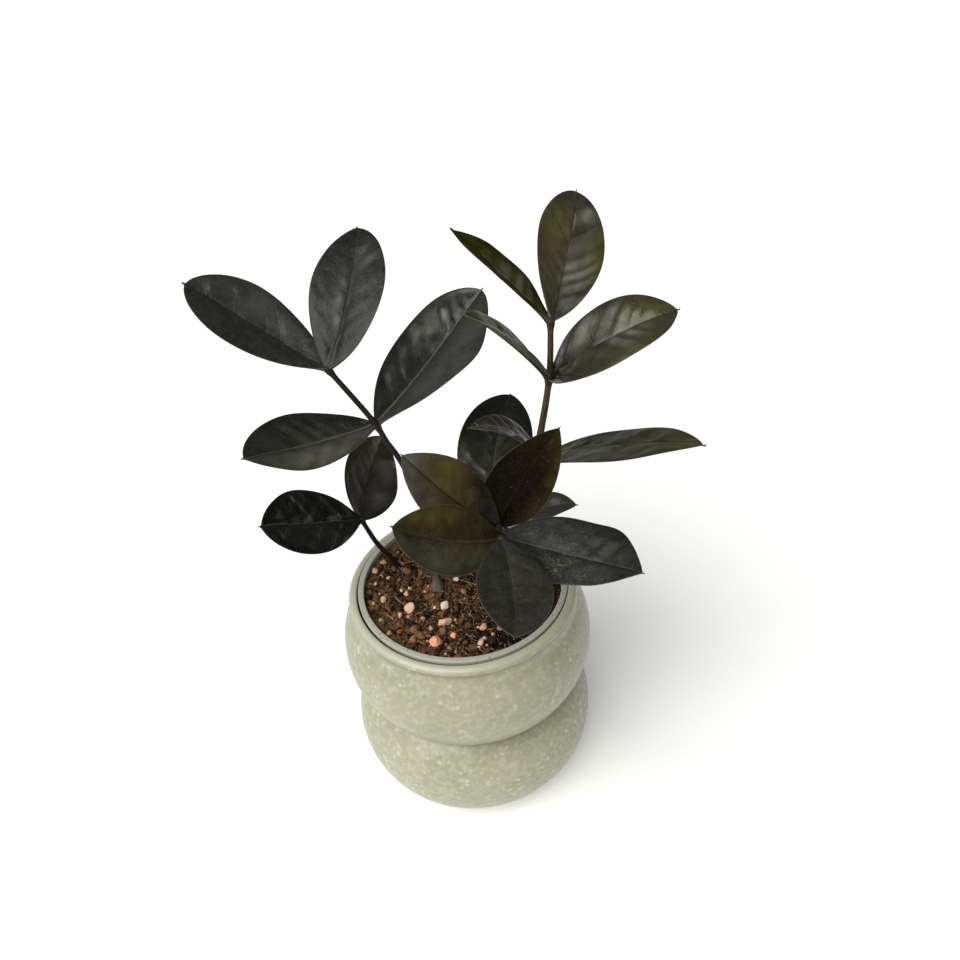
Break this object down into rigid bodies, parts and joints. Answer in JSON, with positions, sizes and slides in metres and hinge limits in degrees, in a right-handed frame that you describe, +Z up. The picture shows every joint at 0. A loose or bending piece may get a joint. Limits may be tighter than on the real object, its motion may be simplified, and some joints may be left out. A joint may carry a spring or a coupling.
{
  "type": "potted zz plant",
  "caption": "Small dark-leaved zz plant in a thin nursery pot, standing inside a speckled glazed cachepot with stacked round bulges.",
  "frame": {"origin": "middle of the cachepot's flat foot, on the surface that it stands on", "axes": "+Z up the pot's axis towards the foliage, -Y towards the side with the lowest-leaning frond, +X to that side's right"},
  "size_m": [0.1754, 0.1499, 0.2554],
  "materials": {
    "glazed_stoneware": "satin",
    "nursery_plastic": "matte",
    "potting_mix": "matte",
    "leaf_blue_black": "satin",
    "leaf_charcoal": "satin",
    "leaf_olive_black": "satin",
    "leaf_bronze_black": "satin"
  },
  "bodies": {
    "root": {"cachepot": "glazed_stoneware", "nursery_pot": "nursery_plastic", "soil": "potting_mix", "frond_left_short": "leaf_blue_black", "frond_left_tall": "leaf_charcoal", "frond_front": "leaf_olive_black", "frond_right_tall": "leaf_bronze_black"}
  },
  "joints": []
}
